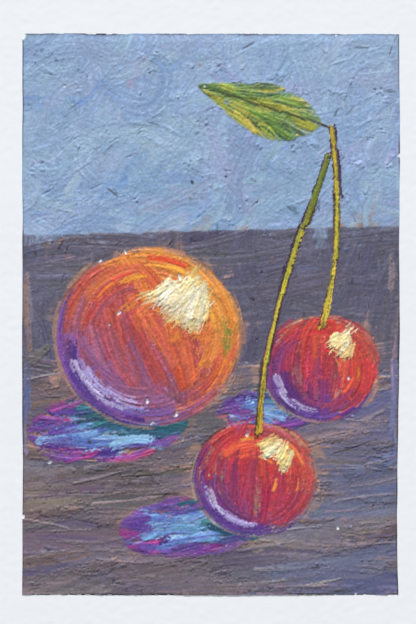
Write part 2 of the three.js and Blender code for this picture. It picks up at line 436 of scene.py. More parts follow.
# Short cracks, their grooves darkened as painted shade.
for _ in range(44):
    x, y = random_place(wall)
    heading = chance.normal(0.6, 0.5)
    for _ in range(chance.integers(1, 4)):
        scratch(x + chance.normal(0, 1.0), y + chance.normal(0, 1.0), chance.normal(heading, 0.12),
                chance.uniform(1.2, 5), chance.normal(0, 0.05), width=chance.uniform(0.3, 0.55),
                depth=chance.uniform(0.05, 0.22), groove_shade=0.45 * chance.uniform(0.2, 1) ** 2)
print("wall height", round(float(height[wall].mean()), 2), "spread", round(float(height[wall].std()), 3))

# %% [markdown]
# ## The table
#
# The table's far part is a smooth grey-violet with strokes that run down the sides. The near part is
# long, almost level drags of brown and grey with blue, grey and salmon in them. They are the
# strongest relief after the highlights: every drag ends in a ridge that catches the light above and
# throws a dark line below.

# %% Table marks
table = area["table_paint"]
table_edge = soft_area["table_paint"]
far_greys = [shade(92, 91, 114), shade(86, 86, 111), shade(97, 94, 116), shade(91, 87, 104)]
near_browns = [shade(108, 98, 108), shade(98, 86, 90), shade(124, 105, 102), shade(92, 87, 106),
               shade(98, 98, 128), shade(138, 120, 122), shade(80, 68, 72), shade(118, 108, 122)]
near_blues = [shade(92, 98, 138), shade(104, 106, 134), shade(116, 112, 130), shade(84, 88, 124)]
table_touches = [shade(84, 98, 146), shade(160, 124, 110), shade(150, 132, 136),
                 shade(128, 120, 150), shade(104, 112, 150), shade(70, 60, 62)]
near_line = bottom + 0.36 * (top - bottom)
for _ in range(300):
    x, y = random_place(table & (grid_y > near_line - 8))
    upright = chance.random() < 0.6
    heading = chance.normal(1.5 if upright else 0.1, 0.2) + math.pi * chance.integers(2)
    lay(x, y, heading, chance.uniform(9, 26), chance.uniform(3, 6.5), vary(pick(far_greys), 0.016),
        second=vary(pick(far_greys), 0.02), bend=chance.normal(0, 0.015), thick=0.08, pickup=0.42,
        lip=0.04, dry=0.3, within=table_edge)
for _ in range(430):
    x, y = random_place(table & (grid_y < near_line + 6))
    heading = chance.normal(0.06, 0.09) + math.pi * chance.integers(2)
    lay(x, y, heading, chance.uniform(12, 40), chance.uniform(2.4, 6.5),
        vary(pick(near_browns), 0.03), second=vary(pick(near_browns), 0.04),
        bend=chance.normal(0, 0.008), thick=0.14, pickup=0.28, drag=3, lip=0.18, heap=0.18,
        furrow=0.4, dry=0.3, within=table_edge)
for _ in range(150):
    x, y = random_place(table & (grid_y < near_line + 10))
    blue = chance.random() < ramp(0, 45, x)
    colours = near_blues if blue else near_browns
    lay(x, y, chance.normal(0.1, 0.16) + math.pi * chance.integers(2), chance.uniform(8, 28),
        chance.uniform(2, 6), vary(pick(colours), 0.045), second=vary(pick(colours), 0.05),
        bend=chance.normal(0, 0.015), thick=0.14, pickup=0.2, drag=3, lip=0.22, heap=0.26,
        furrow=0.42, dry=0.25, tails=0.8, within=table_edge)
for _ in range(80):
    x, y = random_place(table & (grid_y < near_line + 4))
    lay(x, y, chance.normal(0.06, 0.09), chance.uniform(5, 20), chance.uniform(0.7, 1.9),
        vary(pick(table_touches), 0.02), bend=chance.normal(0, 0.008), thick=0.08, pickup=0.42,
        drag=5, dry=0.72, lip=0.05, within=table_edge)
for _ in range(90):
    x, y = random_place(table & (grid_y < near_line + 4))
    lay(x, y, chance.normal(0.1, 0.14) + math.pi * chance.integers(2), chance.uniform(10, 30),
        chance.uniform(2.5, 6), vary(pick(near_browns), 0.03), bend=chance.normal(0, 0.012),
        thick=0.09, pickup=0.7, drag=5, lip=0.2, heap=0.18, furrow=0.45, dry=0.5,
        within=table_edge)
for _ in range(75):
    x, y = random_place(table & (grid_y < near_line + 4))
    colours = near_blues if chance.random() < ramp(-10, 50, x) else near_browns
    lay(x, y, chance.normal(0.12, 0.12) + math.pi * chance.integers(2), chance.uniform(12, 34),
        chance.uniform(3.5, 8), vary(pick(colours), 0.035), second=vary(pick(colours), 0.03),
        bend=chance.normal(0, 0.01), thick=0.09, pickup=0.5, drag=4, lip=0.2, heap=0.24,
        furrow=0.14, scrape=0.45, ragged=0.3, tails=0.9, dry=0.35, within=table_edge)
for _ in range(55):
    x, y = random_place(table & (grid_y < near_line + 6))
    lay(x, y, chance.normal(0.12, 0.12), chance.uniform(6, 22), chance.uniform(0.5, 1.2),
        vary(shade(150, 136, 142), 0.05), bend=chance.normal(0, 0.008), thick=0.16, pickup=0.55,
        lip=0.02, ragged=0.35, tails=0.9, dry=0.55, within=table_edge)
for edge_x in (left + 1.0, right - 1.0):
    for _ in range(9):
        lay(edge_x + chance.normal(0, 0.5), chance.uniform(near_line - 12, horizon - 4),
            chance.normal(math.pi / 2, 0.05), chance.uniform(6, 20), chance.uniform(0.8, 2.2),
            vary(pick(table_touches[:5]), 0.02), bend=chance.normal(0, 0.008), thick=0.09,
            pickup=0.4, dry=0.6, lip=0.06, within=table_edge)
# Scratches across the table, their grooves darkened as painted shade.
for _ in range(90):
    x, y = random_place(table)
    level = y < near_line + 4
    scratch(x, y, chance.normal(0.06 if level else 1.4, 0.1 if level else 0.35),
            chance.uniform(2, 12 if level else 4), chance.normal(0, 0.006),
            width=chance.uniform(0.26, 0.5), depth=chance.uniform(0.08, 0.26),
            groove_shade=0.6 * chance.uniform(0.2, 1) ** 2, lip=0.1)
print("table height", round(float(height[table].mean()), 2), "spread",
      round(float(height[table].std()), 3))

# %% [markdown]
# ## The cast shadows
#
# Each shadow is built from level strokes of saturated colour: violet and magenta at its rim, clear
# blue and turquoise in its middle, and deep teal tight under the fruit.

# %% Shadow marks
violets = [shade(88, 58, 142), shade(72, 40, 132), shade(112, 72, 158)]
magentas = [shade(158, 52, 134), shade(190, 66, 128), shade(134, 66, 160)]
clear_blues = [shade(120, 166, 212), shade(96, 150, 196), shade(138, 176, 220), shade(92, 116, 190)]
teals = [shade(34, 92, 112), shade(44, 122, 136), shade(28, 72, 98)]


def middle_and_half(node):
    low, high = [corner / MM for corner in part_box(node)]
    return (low + high) / 2, (high - low) / 2


for fruit in ("apricot", "front_cherry", "back_cherry"):
    node = fruit + "_shadow_paint"
    fruit_middle, fruit_half = middle_and_half(fruit + "_paint")
    shadow_middle, shadow_half = middle_and_half(node)
    mask = grown(area[node], 1.2, 1.6) * (1 - 0.9 * grown(area[fruit + "_paint"], 0.0))
    for _ in range(int(area[node].sum() / 45)):
        x, y = random_place(area[node])
        rim = math.hypot((x - shadow_middle.x) / shadow_half.x, (y - shadow_middle.y) / shadow_half.y)
        near = math.hypot((x - fruit_middle.x) / fruit_half.x, (y - fruit_middle.y) / fruit_half.y)
        if near < 1.14:
            colours = teals
        elif rim > 0.78:
            colours = violets if chance.random() < 0.55 else magentas
        elif rim > 0.5:
            colours = violets if chance.random() < 0.5 else clear_blues
        else:
            colours = clear_blues
        heading = chance.normal(0.1, 0.16) + math.pi * chance.integers(2)
        length = chance.uniform(4, 11) * min(shadow_half.x / 18, 1)
        lay(x, y, heading, length, chance.uniform(1.3, 3.0), vary(pick(colours), 0.03),
            second=vary(pick(colours), 0.04), bend=chance.normal(0, 0.03), thick=0.13, pickup=0.27,
            drag=2, lip=0.06, heap=0.06, dry=0.45, within=mask)
print("shadows laid")

# %% [markdown]
# ## The fruit
#
# A round fruit is modelled with arcs that follow its outline, laid side by side and bending with it.
# The colour turns with the form: warm yellow and orange towards the light, red across the middle,
# mauve and violet on the side turned away, and a cool lilac band near the far rim, where the light
# comes back off the table. Each arc takes its colour from where its middle lies, with some chance in
# it, and drags the neighbouring colour along.

# %% Colours that turn with the form
light_side = Vector((0.62, 0.78))
apricot_turn = [(-1.1, shade(92, 66, 138)), (-0.72, shade(132, 92, 150)), (-0.4, shade(160, 84, 104)),
                (-0.1, shade(184, 72, 74)), (0.2, shade(206, 92, 62)), (0.5, shade(226, 128, 62)),
                (0.75, shade(236, 158, 70)), (1.1, shade(214, 138, 70))]
cherry_turn = [(-1.1, shade(70, 44, 116)), (-0.7, shade(98, 52, 128)), (-0.35, shade(140, 52, 98)),
               (0.0, shade(170, 50, 74)), (0.35, shade(196, 58, 60)), (0.7, shade(216, 92, 60)),
               (1.1, shade(160, 70, 84))]


def turned_colour(turn, facing):
    """The colour for how far a place faces the light, from -1 to 1."""
    stops = [stop for stop, _ in turn]
    return np.array([np.interp(facing, stops, [c[i] for _, c in turn]) for i in range(3)])


def form_direction(across, along, ring):
    """The heading and bend of a stroke that follows the form, on a fruit of radius 1.

    Across and along are measured from the stalk's axis. A ring stroke follows the outline. Any
    other follows a meridian, the way a thread would run from the stalk to the blossom end.
    """
    if ring:
        out = max(math.hypot(across, along), 0.3)
        return math.atan2(across, -along), 1 / out
    along = max(min(along, 0.92), -0.92)
    level = math.sqrt(1 - along * along)
    side = max(min(across / level, 0.98), -0.98)
    bend = side / (side * side * along * along + level * level) ** 1.5
    return math.atan2(level, -side * along), bend


def model_fruit(fruit, turn, stalk_angle, marks, width_range, length_range, blend=False):
    """Fills one fruit with strokes that follow its form."""
    node = fruit + "_paint"
    middle, half = middle_and_half(node)
    radius = (half.x + half.y) / 2
    turned = stalk_angle - math.pi / 2
    for _ in range(marks):
        x, y = random_place(area[node])
        dx, dy = (x - middle.x) / half.x, (y - middle.y) / half.y
        across = dx * math.cos(turned) + dy * math.sin(turned)
        along = dy * math.cos(turned) - dx * math.sin(turned)
        out = math.hypot(dx, dy)
        heading, bend = form_direction(across, along, ring=chance.random() < ramp(0.45, 0.9, out))
        way = chance.integers(2)
        facing = dx * light_side.x + dy * light_side.y + chance.normal(0, 0.16)
        lay(x, y, heading + turned + math.pi * way + chance.normal(0, 0.07),
            chance.uniform(*length_range) * (1.15 - 0.4 * out), chance.uniform(*width_range),
            vary(turned_colour(turn, facing), 0.025),
            second=vary(turned_colour(turn, facing + chance.normal(0, 0.3)), 0.035),
            bend=bend / radius * (1 - 2 * way), thick=0.09, pickup=0.82 if blend else 0.34,
            drag=0.16 * radius, lip=0.07, heap=0.07, furrow=0.9 if blend else 0.7,
            dry=0.45 if blend else 0.3, within=soft_area[node])
    return middle, half


apricot_stalk_angle = 1.95
cherry_stalk_angle = 1.55
for marks, blend in ((260, False), (60, True), (90, False)):
    apricot_middle, apricot_half = model_fruit(
        "apricot", apricot_turn, apricot_stalk_angle, marks, (1.8, 4.2), (7, 20), blend)
    front_middle, front_half = model_fruit(
        "front_cherry", cherry_turn, cherry_stalk_angle, marks // 2, (1.4, 3.2), (5, 14), blend)
    back_middle, back_half = model_fruit(
        "back_cherry", cherry_turn, cherry_stalk_angle, marks // 2, (1.4, 3.0), (5, 13), blend)
print("fruit height", round(float(height[area["apricot_paint"]].mean()), 2), "mm")

# %% [markdown]
# Accents go on once the form is there: the lilac band of returned light, a few clear strokes of
# orange, green and red, a broken dark outline on the shaded side and salmon left open on the lit
# side. They are arcs too, thinner and drier than the modelling.

# %% Accents round each fruit
lilacs = [shade(190, 182, 222), shade(168, 156, 212), shade(204, 198, 232)]


def arc_round(middle, half, share, angle, sweep, width, colour, **how):
    """One arc that follows a fruit's outline, at a share of its radius, centred on an angle."""
    radius = share * (half.x + half.y) / 2
    x = middle.x + share * half.x * math.cos(angle)
    y = middle.y + share * half.y * math.sin(angle)
    lay(x, y, angle + math.pi / 2, sweep * radius, width, colour, bend=1 / radius, **how)


for fruit, middle, half, size in (("apricot", apricot_middle, apricot_half, 1.0),
                                  ("front_cherry", front_middle, front_half, 0.7),
                                  ("back_cherry", back_middle, back_half, 0.66)):
    edge = soft_area[fruit + "_paint"]
    for _ in range(11):
        arc_round(middle, half, chance.uniform(0.84, 0.97), chance.uniform(3.3, 4.9),
                  chance.uniform(0.3, 0.8), chance.uniform(1.2, 3.0) * size,
                  vary(pick(violets), 0.04), thick=0.1, pickup=0.32, dry=0.42, lip=0.08,
                  within=edge)
    for _ in range(9):
        arc_round(middle, half, chance.uniform(0.74, 0.88), chance.uniform(3.5, 4.5),
                  chance.uniform(0.25, 0.6), chance.uniform(1.0, 2.6) * size,
                  vary(pick(lilacs), 0.02), thick=0.13, pickup=0.3, dry=0.62, lip=0.09,
                  within=edge)
    for _ in range(16):
        arc_round(middle, half, chance.uniform(0.93, 1.04), chance.uniform(2.7, 5.6),
                  chance.uniform(0.2, 0.6), chance.uniform(0.6, 1.5) * size,
                  vary(pick(violets), 0.03), thick=0.08, pickup=0.45, dry=0.72)
    for _ in range(10):
        arc_round(middle, half, chance.uniform(1.0, 1.06), chance.uniform(-0.9, 2.6),
                  chance.uniform(0.15, 0.5), chance.uniform(0.7, 1.6) * size,
                  vary(salmon, 0.03), thick=0.05, pickup=0.4, dry=0.72)
    for _ in range(7):
        arc_round(middle, half, chance.uniform(1.0, 1.05), chance.uniform(2.8, 4.9),
                  chance.uniform(0.25, 0.7), chance.uniform(0.6, 1.3) * size,
                  vary(shade(156, 124, 116), 0.03), thick=0.07, pickup=0.3, dry=0.6, lip=0.07)
warm_touches = [shade(240, 166, 52), shade(228, 78, 52), shade(120, 138, 62), shade(238, 132, 46)]
for _ in range(26):
    arc_round(apricot_middle, apricot_half, chance.uniform(0.3, 0.92), chance.uniform(-0.7, 2.4),
              chance.uniform(0.15, 0.5), chance.uniform(0.8, 2.2), vary(pick(warm_touches), 0.02),
              thick=0.09, pickup=0.4, dry=0.66, within=soft_area["apricot_paint"])
for middle, half, node in ((front_middle, front_half, "front_cherry_paint"),
                           (back_middle, back_half, "back_cherry_paint")):
    for _ in range(14):
        arc_round(middle, half, chance.uniform(0.3, 0.85), chance.uniform(-0.8, 2.2),
                  chance.uniform(0.2, 0.6), chance.uniform(0.7, 1.4),
                  vary(pick([shade(232, 92, 58), shade(206, 44, 56), shade(236, 150, 60)]), 0.02),
                  thick=0.08, pickup=0.25, dry=0.55, within=soft_area[node])
print("accents laid")

# %% [markdown]
# ## The second layer: stalks, leaf and highlights
#
# These were pressed on last, over colour that was already thick, so they stand proud and keep their
# own ragged outline. Each is recorded while it is laid, because that outline, not the plain packed
# one, becomes the edge of its piece. The height of the field is kept first: it is what these pieces
# rest on.

# %% Stalks
under_height = height.copy()
laid_on_top = {node: np.zeros(grid_x.shape) for node in second_layer}
bark = [shade(74, 54, 48), shade(92, 66, 40), shade(58, 42, 66)]
stalk_greens = [shade(142, 146, 48), shade(196, 180, 58), shade(104, 118, 48), shade(226, 196, 66)]


def middle_line(node, count):
    """Points up the middle of a standing ribbon, found from its footprint."""
    found = np.flatnonzero(area[node].any(axis=1))
    chosen = found[np.linspace(1, len(found) - 2, count).astype(int)]
    return [Vector((grid_x[row][area[node][row]].mean(), line_y[row])) for row in chosen]


def lay_through(first, centre, last, width, colour, **how):
    """One mark on the arc through three places."""
    chord = last - first
    turn = (centre - first).cross(last - centre)
    bend = 2 * turn / ((centre - first).length * (last - centre).length * chord.length)
    half_turn = math.asin(max(min(bend * chord.length / 2, 0.99), -0.99))
    length = chord.length if abs(bend) < 1e-4 else 2 * half_turn / bend
    lay(centre.x, centre.y, math.atan2(chord.y, chord.x), length, width, colour, bend=bend, **how)


for node, count in (("front_stalk_paint", 9), ("back_stalk_paint", 7)):
    spine = middle_line(node, count)
    for colours, offset, width, dry, marks in ((bark, -0.5, 1.4, 0.2, 2), (bark, 0.5, 1.3, 0.3, 2),
                                               (stalk_greens, -0.1, 1.1, 0.3, 2),
                                               (stalk_greens, 0.3, 0.8, 0.7, 2)):
        for start in range(0, count - 2, 2):
            for _ in range(marks):
                aside = Vector((offset + chance.normal(0, 0.16), 0))
                wobble = Vector((chance.normal(0, 0.2), 0))
                lay_through(spine[start] + aside + wobble, spine[start + 1] + aside,
                            spine[start + 2] + aside - wobble, width * chance.uniform(0.6, 1.1),
                            vary(pick(colours), 0.04), second=vary(pick(colours), 0.05),
                            thick=0.11, pickup=0.22, scrape=0.05, lip=0.06, heap=0.05, dry=dry,
                            ragged=0.4, tails=1.2, record=laid_on_top[node])
print("stalks laid")

# %% Leaf
leaf_low, leaf_high = [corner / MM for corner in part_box("leaf_paint")]
leaf_greens = [shade(112, 146, 62), shade(84, 118, 62), shade(160, 172, 70), shade(66, 96, 66),
               shade(190, 176, 76), shade(96, 128, 96)]
leaf_rows, leaf_columns = np.nonzero(area["leaf_paint"])
leaf_base = Vector((leaf_high.x, line_y[leaf_rows[leaf_columns == leaf_columns.max()]].mean()))
leaf_tip = Vector((leaf_low.x, line_y[leaf_rows[leaf_columns == leaf_columns.min()]].mean()))
leaf_run = leaf_tip - leaf_base
leaf_heading = math.atan2(leaf_run.y, leaf_run.x)
leaf_record = laid_on_top["leaf_paint"]
for index in range(170):
    x, y = random_place(area["leaf_paint"])
    beside = (Vector((x, y)) - leaf_base).cross(leaf_run.normalized()) / 8
    heading = leaf_heading + 0.55 * beside + chance.normal(0, 0.1)
    length = chance.uniform(3, 8)
    lay(x, y, heading, length, chance.uniform(1.1, 2.6), vary(pick(leaf_greens), 0.03),
        second=vary(pick(leaf_greens), 0.04), thick=0.13, pickup=0.3, drag=2, scrape=0.15,
        lip=0.07, heap=0.05, furrow=0.6, dry=0.4 * (index > 70), within=soft_area["leaf_paint"],
        record=leaf_record)
for share in np.linspace(0.02, 0.8, 5):
    start = leaf_base + leaf_run * share
    lay(start.x, start.y, leaf_heading + chance.normal(0, 0.06), 6.2, 0.8,
        vary(shade(66, 70, 48), 0.02), thick=0.1, pickup=0.35, dry=0.6, record=leaf_record)
print("leaf laid")

# %% Highlights
creams = [shade(248, 236, 196), shade(244, 224, 164), shade(250, 244, 220), shade(240, 206, 128)]
for fruit, dabs, width, length in (("apricot", 30, 4.2, 8.2), ("front_cherry", 18, 2.6, 4.8),
                                   ("back_cherry", 18, 2.4, 4.4)):
    node = fruit + "_highlight_paint"
    middle, half = middle_and_half(node)
    fruit_middle, _ = middle_and_half(fruit + "_paint")
    outwards = math.atan2(middle.y - fruit_middle.y, middle.x - fruit_middle.x)
    spread = 0.62 * (half.x + half.y)
    for index in range(dabs):
        place = spread * chance.uniform(-1, 1)
        slip = chance.normal(0, 0.13) * length
        x = middle.x + place * math.sin(outwards) + slip * math.cos(outwards)
        y = middle.y - place * math.cos(outwards) + slip * math.sin(outwards)
        heading = outwards + math.pi * chance.integers(2) + 0.5 * place / spread
        lay(x, y, heading + chance.normal(0, 0.12), length * chance.uniform(0.55, 1.1) *
            (1.1 - 0.5 * abs(place) / spread), width * chance.uniform(0.5, 1.1),
            vary(pick(creams), 0.015), second=vary(pick(creams), 0.03), bend=chance.normal(0, 0.04),
            thick=0.12, pickup=0.14, scrape=0.06, lip=0.09, heap=0.14, furrow=0.7, ragged=0.3,
            tails=0.8, drag=1.5, dry=0.3, fade=0.35, record=laid_on_top[node])
print("second layer stands", round(float((height - under_height).max()), 2), "mm proud")

# %% [markdown]
# ## Wear, specks and the masked edge
#
# Last come the accidents. Small pits are painted near-black, as painted shade in their hollows,
# crumbs of other colours are stuck about, and in a few places the stick jumped the tooth and left the
# white paper bare. Along the mask the colour piled into a low ridge, darkened there as painted shade,
# and came away in nicks when the mask was pulled off.

# %% Pits, crumbs and bare specks
painted = area["wall_paint"] | area["table_paint"]
# Pits sunk into the wall and table and painted near-black: painted shade in their hollows.
for _ in range(16):
    x, y = random_place(painted)
    spot(x, y, chance.uniform(0.4, 0.9), -0.25, shade(44, 48, 64), chance.uniform(0.3, 0.8))
for _ in range(46):
    x, y = random_place(np.ones(grid_x.shape, bool))
    spot(x, y, chance.uniform(0.35, 0.8), chance.uniform(0.08, 0.22),
         vary(pick(wall_touches + table_touches), 0.03), 0.6)
bareness = np.zeros(grid_x.shape)
for node, count in (("apricot_paint", 7), ("front_cherry_paint", 3), ("back_cherry_paint", 2),
                    ("table_paint", 4), ("wall_paint", 4)):
    for _ in range(count):
        x, y = random_place(area[node])
        window, body = rough_blob(x, y, chance.uniform(0.35, 0.95))
        bareness[window] = np.maximum(bareness[window], body)

# %% The masked edge
edge_gap = np.minimum.reduce([grid_x - left, right - grid_x, grid_y - bottom, top - grid_y])
edge_noise = read_tile(furrow_tile, grid_x * 0.4 + grid_y * 0.5, (grid_x - grid_y) * 3)
edge_thinning = 1 - 0.62 * ramp(2.6, 0.2, edge_gap)
height *= edge_thinning
edge_ridge = np.exp(-((edge_gap - 0.3) / 0.3) ** 2) * np.clip(0.4 + 0.5 * edge_noise, 0, 1.5)
height += 0.05 * edge_ridge
# The outermost half millimetre along the mask is darkened: painted shade along the raised edge of the
# colour.
edge_shade = ramp(0.55, 0.1, edge_gap) * np.clip(0.45 + 0.4 * edge_noise, 0, 0.8)
pigment *= (1 - 0.55 * edge_shade)[..., None]
for corner_x, corner_y, size in ((left, top - 0.4, 1.1), (left + 0.2, bottom + 21, 0.5),
                                 (right, top - 33, 0.5), (right - 12, bottom, 0.4)):
    reach = np.hypot(grid_x - corner_x, (grid_y - corner_y) * 0.8) / size + 0.25 * tooth
    bareness = np.maximum(bareness, ramp(1.05, 0.8, reach))
height += 0.012 * fine_tooth + 0.008 * tooth
height *= 1 - bareness
height += 0.012 * bareness
pigment += (bare_paper - pigment) * bareness[..., None]
print("bare share", round(float(bareness.mean()) * 100, 2), "per cent")

# %% [markdown]
# ## From the height field to solid pieces
#
# Each deposit becomes a closed shell of its own. A grid is made with one face for each cell, the
# cells that the deposit doesn't own are deleted, and its rim is extruded down to the paper and
# closed underneath. All of that happens with whole-number corners, column and row, so each corner
# can look up its place, colour and mark afterwards.
#
# The first layer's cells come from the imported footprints, with the narrow gaps between them shared
# out, because soft colour closes up. The second layer's cells come from what was recorded while it
# was laid. Its pieces are the same patch extruded upwards, from the colour they rest on to their own
# top.

# %% Which cell belongs to which piece
def cells_of(mask):
    """Cells whose two opposite corners are under the mask."""
    return mask[:-1, :-1] & mask[1:, 1:]


def without_crumbs(cells):
    """Drops stray cells, and joins cells that touch only at a corner, so that shells stay sound."""
    for _ in range(3):
        beside = sum(np.roll(np.pad(cells, 1), shift, axis)[1:-1, 1:-1].astype(int)
                     for axis in (0, 1) for shift in (-1, 1))
        cells = (cells & (beside >= 2)) | (beside >= 4)
    for _ in range(8):
        a, b, c, d = cells[:-1, :-1], cells[1:, 1:], cells[1:, :-1], cells[:-1, 1:]
        falling, rising = a & b & ~c & ~d, c & d & ~a & ~b
        if not (falling.any() or rising.any()):
            break
        cells = cells.copy()
        cells[1:, :-1] |= falling
        cells[:-1, :-1] |= rising
    return cells


owner = np.full((rows, columns), -1)
for index, node in enumerate(first_layer):
    owner[cells_of(area[node])] = index
while (owner < 0).any():
    for axis in (0, 1):
        for shift in (-1, 1):
            beside = np.roll(owner, shift, axis)
            owner = np.where(owner < 0, beside, owner)
top_cells = {}
taken = np.zeros(owner.shape, bool)
for node in reversed(second_layer):
    cells = without_crumbs(cells_of(laid_on_top[node] > 0.45) & ~taken)
    top_cells[node] = cells & ~taken
    taken |= top_cells[node]
print({node: int(cells.sum()) for node, cells in top_cells.items()})

# %% Heights and places of the corners
covered = np.pad(taken, 1)
inner = covered[:-1, :-1] & covered[1:, :-1] & covered[:-1, 1:] & covered[1:, 1:]
resting = np.minimum(under_height, height - 0.025)
lower_top = np.where(inner, resting - 0.01, height)
linear = np.where(pigment <= 0.04045, pigment / 12.92, ((np.clip(pigment, 0, 1) + 0.055) / 1.055) ** 2.4)
sway = read_tile(furrow_tile, 3 * grid_x + 40, 3 * grid_y)
waver = read_tile(cloud_tile, grid_x * 2, grid_y * 2)
share_up = (grid_y - bottom) / (top - bottom)
bow = -0.75 * np.exp(-((share_up - 0.17) / 0.2) ** 2)
move_x = (0.07 * waver + 0.05 * sway) * np.exp(-edge_gap / 1.2)
move_x = move_x + bow * np.clip((grid_x - right + 12) / 12, 0, 1)
move_y = (0.07 * waver - 0.05 * sway) * np.exp(-edge_gap / 1.2)
place_x = grid_x + move_x
place_y = grid_y + move_y

# %% A closed shell from a set of cells
def cell_patch(cells):
    """A flat grid with a face for each cell, whose corners are whole columns and rows."""
    found_rows, found_columns = np.nonzero(cells)
    low_x, high_x = int(found_columns.min()), int(found_columns.max()) + 1
    low_y, high_y = int(found_rows.min()), int(found_rows.max()) + 1
    middle = Matrix.Translation(((low_x + high_x) / 2, (low_y + high_y) / 2, 0))
    half = Matrix.Diagonal(((high_x - low_x) / 2, (high_y - low_y) / 2, 1, 1))
    patch = bmesh.new()
    bmesh.ops.create_grid(patch, x_segments=high_x - low_x, y_segments=high_y - low_y, size=1,
                          matrix=middle @ half)
    centres = [(face, face.calc_center_median()) for face in patch.faces]
    others = [face for face, centre in centres if not cells[int(centre.y), int(centre.x)]]
    bmesh.ops.delete(patch, geom=others, context="FACES")
    return patch


def finish_mesh(patch, name, tops, bases):
    """Turns a patch with levels 1 and 0 into a mesh in metres, with its colour and mark stored."""
    mesh = bpy.data.meshes.new(name)
    patch.to_mesh(mesh)
    patch.free()
    corners = np.zeros(len(mesh.vertices) * 3)
    mesh.vertices.foreach_get("co", corners)
    corners = corners.reshape(-1, 3)
    column = np.clip(np.round(corners[:, 0]).astype(int), 0, columns)
    row = np.clip(np.round(corners[:, 1]).astype(int), 0, rows)
    level = np.where(corners[:, 2] > 0.5, tops[row, column], bases[row, column])
    placed = np.column_stack([place_x[row, column], place_y[row, column], paper_top + level]) * MM
    mesh.vertices.foreach_set("co", placed.ravel())
    colour = mesh.color_attributes.new("pigment", "FLOAT_COLOR", "POINT")
    colour.data.foreach_set("color", np.column_stack([linear[row, column], np.ones(len(row))]).ravel())
    mark = mesh.attributes.new("mark", "FLOAT_VECTOR", "POINT")
    marks = np.column_stack([along_mark[row, column], across_mark[row, column], np.zeros(len(row))])
    mark.data.foreach_set("vector", marks.ravel())
    bare = mesh.attributes.new("bare", "FLOAT", "POINT")
    bare.data.foreach_set("value", bareness[row, column])
    mesh.update()
    piece = bpy.data.objects.new(name, mesh)
    bpy.context.scene.collection.objects.link(piece)
    return piece


def lower_shell(name, cells):
    """A first-layer deposit: its surface, a rim down to the paper, and a flat underside."""
    patch = cell_patch(cells)
    for vertex in patch.verts:
        vertex.co.z = 1
    for face in patch.faces:
        face.smooth = True
    rim = [edge for edge in patch.edges if edge.is_boundary]
    for edge in rim:
        edge.smooth = False
    skirt = bmesh.ops.extrude_edge_only(patch, edges=rim)["geom"]
    for item in skirt:
        if isinstance(item, bmesh.types.BMVert):
            item.co.z = 0
    hem = [item for item in skirt if isinstance(item, bmesh.types.BMEdge) and item.is_boundary]
    bmesh.ops.triangle_fill(patch, use_beauty=False, use_dissolve=False, edges=hem)
    bmesh.ops.recalc_face_normals(patch, faces=patch.faces)
    return finish_mesh(patch, name, lower_top, np.full(height.shape, -0.01))


def upper_shell(name, cells):
    """A second-layer deposit: its cells, extruded from what they rest on up to their own top."""
    patch = cell_patch(cells)
    raised = bmesh.ops.extrude_face_region(patch, geom=patch.faces[:])["geom"]
    for item in raised:
        if isinstance(item, bmesh.types.BMVert):
            item.co.z = 1
    bmesh.ops.recalc_face_normals(patch, faces=patch.faces)
    for face in patch.faces:
        levels = {round(vertex.co.z) for vertex in face.verts}
        face.smooth = levels == {1}
        if len(levels) == 2:
            for edge in face.edges:
                edge.smooth = False
    return finish_mesh(patch, name, height, resting)

# %% [markdown]
# ## How pastel and paper take the light
#
# Oil pastel is a wax: soft, a little greasy, with a broad dull shine on its ridges. Its colour comes
# from the pigment stored at each corner. What is finer than the grid comes from noise: streaks that
# follow each mark, because they read the stored distances along and across it, and a fine grain.
# Where the paper is bare the same material goes dry and rough. The paper's own material is matte,
# with a soft pebbled tooth and fibres.

# %% Node helpers
def new_material(name):
    material = bpy.data.materials.new(name)
    material.use_nodes = True
    tree = material.node_tree
    return material, tree, tree.nodes["Principled BSDF"]


def noise_node(tree, vector, scale, detail, roughness):
    node = tree.nodes.new("ShaderNodeTexNoise")
    node.inputs["Scale"].default_value = scale
    node.inputs["Detail"].default_value = detail
    node.inputs["Roughness"].default_value = roughness
    tree.links.new(vector, node.inputs["Vector"])
    return node.outputs["Fac"]


def maths(tree, operation, first, second):
    node = tree.nodes.new("ShaderNodeMath")
    node.operation = operation
    for socket, value in zip(node.inputs, (first, second)):
        if isinstance(value, (int, float)):
            socket.default_value = value
        else:
            tree.links.new(value, socket)
    return node.outputs[0]


def stored(tree, name, output):
    node = tree.nodes.new("ShaderNodeAttribute")
    node.attribute_name = name
    return node.outputs[output]


def scaled_vector(tree, vector, scale):
    node = tree.nodes.new("ShaderNodeMapping")
    node.inputs["Scale"].default_value = scale
    tree.links.new(vector, node.inputs["Vector"])
    return node.outputs["Vector"]


def bump(tree, shader, source, strength, distance):
    node = tree.nodes.new("ShaderNodeBump")
    node.inputs["Strength"].default_value = strength
    node.inputs["Distance"].default_value = distance
    tree.links.new(source, node.inputs["Height"])
    tree.links.new(node.outputs["Normal"], shader.inputs["Normal"])

